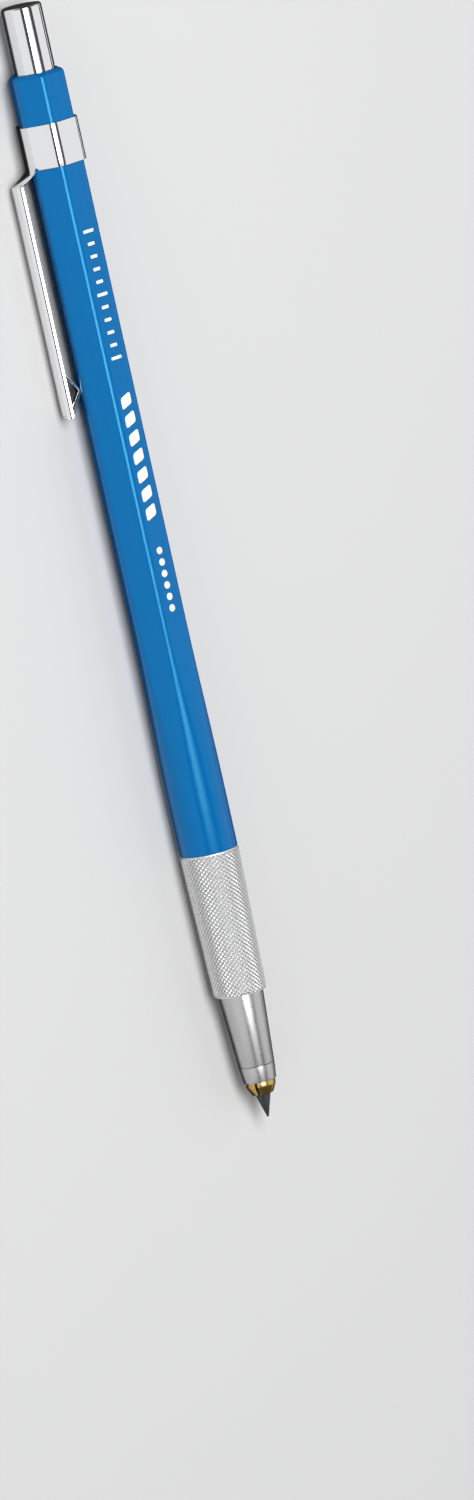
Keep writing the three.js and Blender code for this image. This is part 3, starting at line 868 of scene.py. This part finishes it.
    def faces(self, path, passed, tongue, columns):
        """Quads of the band, of its joint with the neck, and of the arm, which is slit beside the tongue from
        the end bend on and has no rims past its lowest row."""
        start = self.band_rows * columns
        count = len(tongue)
        strip = grid_faces(len(path), count, False, False)
        row, column = np.divmod(strip[:, 0], count)
        beside = tongue[(column + 1) % count]
        in_tongue = tongue[column] & beside
        at_slit = tongue[column] != beside
        first_bend = int(np.argmax(passed > 2)) - 1
        lowest = int(np.argmin(path[:, 1]))
        kept = (row < first_bend) | in_tongue | ((row < lowest) & ~at_slit)
        edge = start - columns + np.arange(count)
        root = start + np.arange(count)
        joint = np.stack([edge[:-1], edge[1:], root[1:], root[:-1]], axis=1)
        return np.concatenate([grid_faces(self.band_rows, columns, False, True), joint, strip[kept] + start])

    def execute(self, context):
        sizes = context.scene.holder_clip
        clip = self.measured(sizes)
        path, passed = self.path(clip, sizes)
        angle, share, tongue = self.columns(sizes, clip)
        hexagon = rounded_hexagon(clip.flat, sizes.band_corner, angle)
        root = around(hexagon, 0.0, angle)[: len(share)]
        band = self.band(hexagon, angle, sizes, clip)
        arm = self.arm(root, share, tongue, path, passed, sizes, clip)
        faces = self.faces(path, passed, tongue, len(angle))
        piece = self.pressed(np.concatenate([band.reshape(-1, 3), arm.reshape(-1, 3)]), faces, sizes)
        attach(piece, None, ["clip_band", "clip_arm"], chrome_plate("bright_chrome_clip"))
        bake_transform(piece)
        return {"FINISHED"}

    def pressed(self, points, faces, sizes):
        """The sheet's outer face given its thickness inwards and its cut edges rounded, as a plain mesh."""
        sheet = finished_object("clip_sheet", points, faces, recalculate=False)
        work = bmesh.new()
        work.from_mesh(sheet.data)
        unused = [vert for vert in work.verts if not vert.link_faces]
        bmesh.ops.delete(work, geom=unused, context="VERTS")
        bmesh.ops.recalc_face_normals(work, faces=work.faces)
        work.faces.ensure_lookup_table()
        axis_out = Vector(TURN[:, 0])
        front = max(work.faces, key=lambda face: face.calc_center_median().dot(axis_out))
        if front.normal.dot(axis_out) < 0:
            bmesh.ops.reverse_faces(work, faces=work.faces)
        work.to_mesh(sheet.data)
        work.free()
        thickness = sheet.modifiers.new("thickness", "SOLIDIFY")
        thickness.thickness = sizes.sheet
        thickness.offset = -1
        thickness.use_even_offset = True
        rounding = sheet.modifiers.new("rounding", "BEVEL")
        rounding.width = sizes.edge
        rounding.segments = 2
        rounding.limit_method = "ANGLE"
        rounding.angle_limit = math.radians(50)
        rounding.use_clamp_overlap = True
        graph = bpy.context.evaluated_depsgraph_get()
        mesh = bpy.data.meshes.new_from_object(sheet.evaluated_get(graph))
        bpy.data.objects.remove(sheet)
        smooth_shading(mesh)
        piece = bpy.data.objects.new("clip_pressing", mesh)
        bpy.context.scene.collection.objects.link(piece)
        return piece


class LEADHOLDER_OT_grip(bpy.types.Operator):
    """Build the grip sleeve, with its diamond knurl and the screw thread behind it"""

    bl_idname = "lead_holder.grip"
    bl_label = "Grip sleeve"

    steps = 4
    rows_per_pitch = 8
    plain_share = 0.3  # of the fade at the knurl's ends, which gets no painted shade
    groove_shade_gain = 2.4

    def execute(self, context):
        sizes = context.scene.holder_grip
        radius, place = profile("grip_sleeve")
        front, thread_end = stations("grip_sleeve")
        rear = stations("barrel")[0] - FIT
        front_radius = radius[place < (front + rear) / 2].max()
        thread_radius = radius[place > rear + FIT].max()
        columns = sizes.teeth * self.steps
        angle = angles(columns)[None, :]
        knurl, groove_shade = self.knurl(front, rear, front_radius, radius.max(), angle, sizes)
        thread = self.thread(rear, thread_end, thread_radius, angle, sizes)
        ease = sizes.thread_depth
        walls = np.array([
            [thread_radius - ease, thread_end], [radius.min(), thread_end], [radius.min(), front],
            [front_radius - sizes.knurl_depth, front],
        ])
        shoulder = around(thread_radius - ease, rear, angle)
        points = np.concatenate([knurl, shoulder, thread, around(walls[:, :1], walls[:, 1:], angle)])
        faces = self.split_along_grooves(grid_faces(len(points), columns, True, True), len(knurl) - 1, columns)
        smooth = np.ones(len(points) * columns - groove_shade.size)
        groove_shade = np.concatenate([groove_shade.ravel(), smooth])
        piece = finished_object("grip_sleeve_knurled", points, faces, groove_shade=groove_shade)
        attach(piece, "front_section", ["grip_sleeve"], knurl_metal())
        return {"FINISHED"}

    def knurl(self, front, rear, front_radius, rear_radius, angle, sizes):
        """Rows of the knurled cone: hills between two sets of crossing grooves, each a zigzag of the place
        along the axis plus or minus the place round it. Also how far each point stands out of them, which the
        finish uses as painted shade in the grooves."""
        step = sizes.knurl_pitch / self.steps
        count = int(round((rear - front) / step))
        station = np.linspace(front, rear, count + 1)[:, None]
        around_steps = angle / (2 * math.pi) * sizes.teeth
        along_steps = np.arange(count + 1)[:, None] / self.steps
        first = np.abs((around_steps + along_steps + 0.5) % 1 - 0.5) * 2
        second = np.abs((around_steps - along_steps + 0.5) % 1 - 0.5) * 2
        hill = np.minimum(1.3 * np.minimum(first, second), 1)
        inside = np.minimum(station - front, rear - station) / sizes.knurl_fade
        depth = sizes.knurl_depth * (1 - hill * smooth_step(inside * 1.4))
        cone = front_radius + (rear_radius - front_radius) * (station - front) / (rear - front)
        # painted shade: 1 on the hills and the plain ends, lower in the grooves, where the finish darkens the
        # colour
        groove_shade = np.where(inside < self.plain_share, 1, np.minimum(hill * self.groove_shade_gain, 1))
        return around(cone - depth, station, angle), groove_shade

    def thread(self, rear, end, radius, angle, sizes):
        """Rows of the screw thread: a zigzag whose phase runs once round the axis in each pitch."""
        rows = int((end - rear) / sizes.thread_pitch * self.rows_per_pitch)
        at = np.linspace(rear, end, rows + 1)[1:, None]
        phase = ((at - rear) / sizes.thread_pitch - angle / (2 * math.pi)) % 1
        tooth = np.abs(phase * 2 - 1)
        fade = smooth_step(np.minimum(at - rear, end - at) / sizes.thread_pitch * 1.5)
        return around(radius - sizes.thread_depth * tooth * fade, at, angle)

    def split_along_grooves(self, faces, rows, columns):
        """Knurl quads cut into triangles along the grooves: one diagonal where row plus column is even, the
        other where it is odd. The remaining quads stay whole."""
        knurl = faces[: rows * columns]
        row, column = np.divmod(np.arange(rows * columns), columns)
        even = (row + column) % 2 == 0
        first = np.where(even[:, None], knurl[:, [0, 1, 2]], knurl[:, [0, 1, 3]])
        second = np.where(even[:, None], knurl[:, [0, 2, 3]], knurl[:, [1, 2, 3]])
        return first.tolist() + second.tolist() + faces[rows * columns :].tolist()


class LEADHOLDER_OT_nose(bpy.types.Operator):
    """Build the nose cone and the tip ring in front of it"""

    bl_idname = "lead_holder.nose"
    bl_label = "Nose and tip ring"

    def execute(self, context):
        ease = context.scene.holder_inner.turned_edge
        metal = turned_metal("turned_nose_metal", colours().nose, 0.27, 0.36, 0.0025 * MM)
        radius, station = profile("nose_cone")
        front, end = stations("nose_cone")
        bore, shoulder = radius.min(), radius.max()
        rear = station[radius > shoulder - FIT].max()
        front_radius = radius[station < front + FIT].max()
        spigot = radius[station > rear + FIT].max()
        outline = [
            (bore, front), (front_radius, front), (shoulder, rear), (spigot, rear), (spigot, end), (bore, end),
        ]
        cone = turned_object("nose_cone_turned", outline, ease)
        attach(cone, "front_section", ["nose_cone"], metal)

        radius, station = profile("tip_ring")
        tip, ring_end = stations("tip_ring")
        seat_bore = radius.min()
        seat_end = station[radius < seat_bore + FIT].min()
        seat_front = radius[station < tip + FIT].min()
        tip_radius = radius[station < tip + 10 * FIT].max()
        spigot = radius[station > ring_end - FIT].max()
        joint = front - FIT
        outline = [
            (seat_front, tip), (tip_radius, tip), (front_radius, joint), (spigot, joint),
            (spigot, ring_end), (seat_bore, ring_end), (seat_bore, seat_end),
        ]
        ring = turned_object("tip_ring_turned", outline, ease)
        attach(ring, "front_section", ["tip_ring"], metal)
        return {"FINISHED"}


class LEADHOLDER_OT_jaws(bpy.types.Operator):
    """Build the three jaws, fingers of a turned collet with a slot between neighbours"""

    bl_idname = "lead_holder.jaws"
    bl_label = "Jaws"

    def execute(self, context):
        sizes = context.scene.holder_inner
        metal = turned_metal("turned_jaw_brass", colours().brass, 0.2, 0.34, 0.002 * MM)
        radius, station = profile("jaw_1")
        front, rear = stations("jaw_1")
        inner = radius.min()
        outer = inner + sizes.jaw_wall
        widest = radius.max()
        bulge_at = station[radius > widest - FIT].mean()
        seat_radius, seat_bore = self.seat()
        outline = [
            (inner, front), (inner + sizes.jaw_nose_wall, front), (widest, bulge_at), (seat_radius, 0),
            (seat_bore, MM), (outer, sizes.jaw_head), (outer, rear), (inner, rear),
        ]
        ease = sizes.turned_edge * np.array([0.3, 1.5, 3, 1, 1, 3, 0.5, 0.3])
        for number in range(3):
            piece = sector_object(
                f"jaw_{number + 1}_finger", outline, ease,
                lambda radius: math.pi / 3 - np.arcsin(sizes.jaw_slot / 2 / radius), number * 2 * math.pi / 3,
            )
            attach(piece, f"jaw_{number + 1}", [f"jaw_{number + 1}"], metal)
        return {"FINISHED"}

    def seat(self):
        """Radii of the jaw's head at the front and the rear of the tip ring's seat."""
        radius, station = profile("tip_ring")
        return radius[station < FIT].min() - FIT, radius.min() - FIT


class LEADHOLDER_OT_clutch(bpy.types.Operator):
    """Build the lead tube with its clutch body, collar, snap ring and ferrule, and the barrel's insert"""

    bl_idname = "lead_holder.clutch"
    bl_label = "Clutch and tube"

    snap_gap = math.radians(20)

    def ring(self, node, material, body="clutch", slot="inner_brass"):
        """A plain turned ring over a CAD node's own radii and stations."""
        piece = turned_object(f"{node}_turned", ring_outline(node), bpy.context.scene.holder_inner.turned_edge)
        attach(piece, body, [node], material)

    def execute(self, context):
        sizes = context.scene.holder_inner
        brass = turned_metal("turned_brass", colours().brass, 0.18, 0.32, 0.002 * MM)
        self.ring("tube_ferrule", brass)
        self.ring("spring_collar", brass)
        self.ring("thread_insert", brass, "barrel")
        self.tube(brass, sizes)
        self.clutch_body(brass, sizes)
        snap = sector_object(
            "snap_ring_bent", ring_outline("snap_ring"), sizes.turned_edge,
            lambda radius: math.pi - self.snap_gap + 0 * radius, math.pi, 72,
        )
        attach(snap, "clutch", ["snap_ring"], drawn_steel())
        return {"FINISHED"}

    def tube(self, metal, sizes):
        """The tube, with the snap ring's groove between its two walls."""
        radius, station = profile("lead_tube")
        front, rear = stations("lead_tube")
        inner, outer = radius.min(), radius.max()
        between = (radius > inner + FIT) & (radius < outer - FIT)
        groove = radius[between].mean()
        groove_front, groove_rear = station[between].min(), station[between].max()
        outline = [
            (inner, front), (outer, front), (outer, groove_front), (groove, groove_front),
            (groove, groove_rear), (outer, groove_rear), (outer, rear), (inner, rear),
        ]
        attach(turned_object("lead_tube_drawn", outline, sizes.turned_edge / 2), "clutch", ["lead_tube"],
               metal)

    def clutch_body(self, metal, sizes):
        """The clutch's rear, with a socket for the tube behind its stop."""
        radius, station = profile("clutch_body")
        front, rear = stations("clutch_body")
        inner, outer = radius.min(), radius.max()
        socket = radius[station > rear - FIT].min()
        stop = station[radius < inner + FIT].max()
        outline = [(inner, front), (outer, front), (outer, rear), (socket, rear), (socket, stop), (inner, stop)]
        attach(turned_object("clutch_body_turned", outline, sizes.turned_edge), "clutch", ["clutch_body"],
               metal)


class LEADHOLDER_OT_spring(bpy.types.Operator):
    """Build the main spring, a coil with closed ends"""

    bl_idname = "lead_holder.spring"
    bl_label = "Main spring"

    rows_per_turn = 36
    wire_columns = 12

    def execute(self, context):
        sizes = context.scene.holder_inner
        front, rear = stations("main_spring")
        inner, outer = radii("main_spring")
        coil = (inner + outer) / 2
        half_wire = sizes.spring_wire / 2
        turns = sizes.spring_turns
        turn = np.linspace(0, turns, turns * self.rows_per_turn + 1)
        open_part = smooth_step(np.minimum(turn, turns - turn) - 0.8)
        closed_rise = np.gradient(turn) * sizes.spring_wire
        closed_sum = np.cumsum(closed_rise) - closed_rise[0]
        open_sum = np.cumsum(open_part) - open_part[0]
        free = (rear - front - sizes.spring_wire) - closed_sum[-1]
        station = front + half_wire + closed_sum + free * open_sum / open_sum[-1]
        angle = 2 * math.pi * turn
        centre = around(coil, station, angle)
        along = np.gradient(centre, axis=0)
        along /= np.linalg.norm(along, axis=1, keepdims=True)
        outward = around(1.0, 0.0, angle)
        upward = np.cross(along, outward)
        round_wire = angles(self.wire_columns)[None, :, None]
        wire = centre[:, None] + half_wire * (
            np.cos(round_wire) * outward[:, None] + np.sin(round_wire) * upward[:, None]
        )
        ends = [np.repeat(centre[end][None, None], self.wire_columns, axis=1) for end in (0, -1)]
        points = np.concatenate([ends[0], wire, ends[1]])
        faces = grid_faces(len(points), self.wire_columns, False, True)
        piece = finished_object("main_spring_coil", points, faces)
        attach(piece, "front_section", ["main_spring"], drawn_steel())
        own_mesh(piece)
        return {"FINISHED"}


class LEADHOLDER_OT_lead(bpy.types.Operator):
    """Build the lead, a graphite stick with a conical, slightly worn point"""

    bl_idname = "lead_holder.lead"
    bl_label = "Lead"

    def execute(self, context):
        sizes = context.scene.holder_inner
        front, rear = stations("lead")
        outer = radii("lead")[1]
        outline = [
            (0, front), (sizes.lead_flat / 2, front), (outer, front + sizes.lead_point),
            (outer, rear), (0, rear),
        ]
        ease = np.array([0, 0.06, 0.25, 0.06, 0]) * MM
        attach(turned_object("lead_stick", outline, ease, 64), "lead", ["lead"], graphite_stick())
        return {"FINISHED"}


class LEADHOLDER_OT_button(bpy.types.Operator):
    """Build the push button, and give the sharpener inside it its finish"""

    bl_idname = "lead_holder.button"
    bl_label = "Push button"

    def execute(self, context):
        sizes = context.scene.holder_inner
        front, end = stations("button_shell")
        outer = radii("button_shell")[1]
        bore = outer - sizes.button_wall
        floor = end - sizes.button_end_wall
        edge = sizes.button_edge
        quarter = np.linspace(0, math.pi / 2, 10)
        rounded = np.stack([outer - edge * (1 - np.cos(quarter)), end - edge * (1 - np.sin(quarter))], axis=1)
        lip = 0.05 * MM
        outline = np.concatenate([
            [(0, floor), (bore, floor), (bore, front + lip), (bore + lip, front), (outer - lip, front),
             (outer, front + lip)],
            rounded,
            [(0, end)],
        ])
        attach(turned_object("button_shell_polished", outline, 0.0, 144), "button", ["button_shell"],
               chrome_plate())
        self.refinish("sharpener_core", core_plastic())
        self.refinish("sharpener_blade", drawn_steel())
        return {"FINISHED"}

    def refinish(self, node, material):
        mesh = frame["nodes"][node].data
        mesh.materials.clear()
        mesh.materials.append(material)


# ---- Stage ----


class LEADHOLDER_OT_stage(bpy.types.Operator):
    """Set up the pale floor, the soft studio lights and the camera"""

    bl_idname = "lead_holder.stage"
    bl_label = "Stage"

    floor_reach = 12.0
    # angle round the axis from the camera in degrees; distance, place along the axis, width and length in
    # metres; radiance
    softboxes = {
        "front_softbox": (-32.5, 0.8, 0.05, 0.7, 1.1, 0.87),
        "top_softbox": (24, 0.8, 0.05, 0.46, 1.1, 0.87),
        "key_softbox": (20, 0.75, 0.27, 0.29, 0.66, 10.0),
        "back_softbox": (86, 0.8, 0.05, 0.85, 1.1, 0.87),
    }

    def directions(self, settings):
        """Towards the camera and to its right, both across the holder's axis, and back along the axis."""
        toward = TURN @ np.array([math.cos(settings.turn), math.sin(settings.turn), 0])
        back = TURN[:, 2]
        return toward, np.cross(back, toward), back

    def execute(self, context):
        settings = context.scene.holder_stage
        self.floor()
        self.world(context)
        self.lights(settings)
        self.camera(context, settings)
        context.scene.view_settings.view_transform = "Standard"
        return {"FINISHED"}

    def floor(self):
        low = CAD_BOX[0].z
        reach = self.floor_reach
        mesh = bpy.data.meshes.new("floor")
        corners = [(-reach, -reach, low), (reach, -reach, low), (reach, reach, low), (-reach, reach, low)]
        mesh.from_pydata(corners, [], [(0, 1, 2, 3)])
        floor = bpy.data.objects.new("floor", mesh)
        floor.data.materials.append(floor_paper())
        bpy.context.scene.collection.objects.link(floor)

    def world(self, context):
        """Pale where the camera looks past the floor, and dimmer as a light and in reflections."""
        world = bpy.data.worlds.new("studio")
        context.scene.world = world
        world.use_nodes = True
        tree = world.node_tree
        seen = tree.nodes["Background"]
        seen.inputs["Color"].default_value = (*BACKGROUND, 1)
        dim = tree.nodes.new("ShaderNodeBackground")
        dim.inputs["Color"].default_value = (*DIM_WORLD, 1)
        path = tree.nodes.new("ShaderNodeLightPath")
        camera_ray = path.outputs["Is Camera Ray"]
        mix_shaders(tree, camera_ray, dim.outputs["Background"], seen.outputs["Background"], "World Output")

    def lights(self, settings):
        toward, right, back = self.directions(settings)
        for name, (angle, distance, station, width, length, radiance) in self.softboxes.items():
            angle = math.radians(angle)
            out = toward * math.cos(angle) + right * math.sin(angle)
            light = bpy.data.lights.new(name, "AREA")
            light.shape = "RECTANGLE"
            light.size = width
            light.size_y = length
            light.energy = radiance * math.pi * width * length
            lamp = bpy.data.objects.new(name, light)
            across = np.cross(back, out)
            turn = np.column_stack([across, back, out])
            place = to_row([0, 0, station]) + out * distance
            lamp.matrix_world = Matrix.Translation(Vector(place)) @ Matrix(turn).to_4x4()
            lamp.visible_camera = False
            bpy.context.scene.collection.objects.link(lamp)

    def camera(self, context, settings):
        """Aim beside the axis, so that the holder leans and stands to one side in the view."""
        toward, sideways, back = self.directions(settings)
        out = toward * math.cos(settings.tilt) + back * math.sin(settings.tilt)
        along = back * math.cos(settings.tilt) - toward * math.sin(settings.tilt)
        level = np.cross(along, out)
        up = along * math.cos(settings.lean) + level * math.sin(settings.lean)
        right = level * math.cos(settings.lean) - along * math.sin(settings.lean)
        target = to_row([0, 0, settings.aim]) + right * settings.aside
        distance = settings.height / 2 / math.tan(settings.field / 2)
        data = bpy.data.cameras.new("camera")
        data.sensor_fit = "AUTO"
        data.lens = data.sensor_width / 2 / math.tan(settings.field / 2)
        data.clip_start = 0.01
        data.clip_end = 100
        camera = bpy.data.objects.new("camera", data)
        turn = np.column_stack([right, up, out])
        camera.matrix_world = Matrix.Translation(Vector(target + out * distance)) @ Matrix(turn).to_4x4()
        bpy.context.scene.collection.objects.link(camera)
        context.scene.camera = camera


class LEADHOLDER_PT_panel(bpy.types.Panel):
    """Builders and sizes of the lead holder"""

    bl_idname = "LEADHOLDER_PT_panel"
    bl_label = "Lead Holder"
    bl_space_type = "VIEW_3D"
    bl_region_type = "UI"
    bl_category = "Lead Holder"

    def draw(self, context):
        for operator in OPERATORS:
            self.layout.operator(operator.bl_idname)
        for name, group in GROUPS.items():
            box = self.layout.box()
            box.label(text=group.__name__)
            for prop in group.__annotations__:
                box.prop(getattr(context.scene, name), prop)


OPERATORS = (
    LEADHOLDER_OT_stage,
    LEADHOLDER_OT_barrel,
    LEADHOLDER_OT_marks,
    LEADHOLDER_OT_clip,
    LEADHOLDER_OT_grip,
    LEADHOLDER_OT_nose,
    LEADHOLDER_OT_jaws,
    LEADHOLDER_OT_clutch,
    LEADHOLDER_OT_spring,
    LEADHOLDER_OT_lead,
    LEADHOLDER_OT_button,
)
CLASSES = (*GROUPS.values(), *OPERATORS, LEADHOLDER_PT_panel)


def register():
    for cls in CLASSES:
        bpy.utils.register_class(cls)
    for name, group in GROUPS.items():
        setattr(bpy.types.Scene, name, PointerProperty(type=group))


def unregister():
    for name in GROUPS:
        delattr(bpy.types.Scene, name)
    for cls in reversed(CLASSES):
        bpy.utils.unregister_class(cls)


def main():
    register()
    bpy.ops.lead_holder.stage()
    bpy.ops.lead_holder.barrel()
    bpy.ops.lead_holder.marks()
    bpy.ops.lead_holder.clip()
    bpy.ops.lead_holder.grip()
    bpy.ops.lead_holder.nose()
    bpy.ops.lead_holder.jaws()
    bpy.ops.lead_holder.clutch()
    bpy.ops.lead_holder.spring()
    bpy.ops.lead_holder.lead()
    bpy.ops.lead_holder.button()


if __name__ == "__main__":
    main()
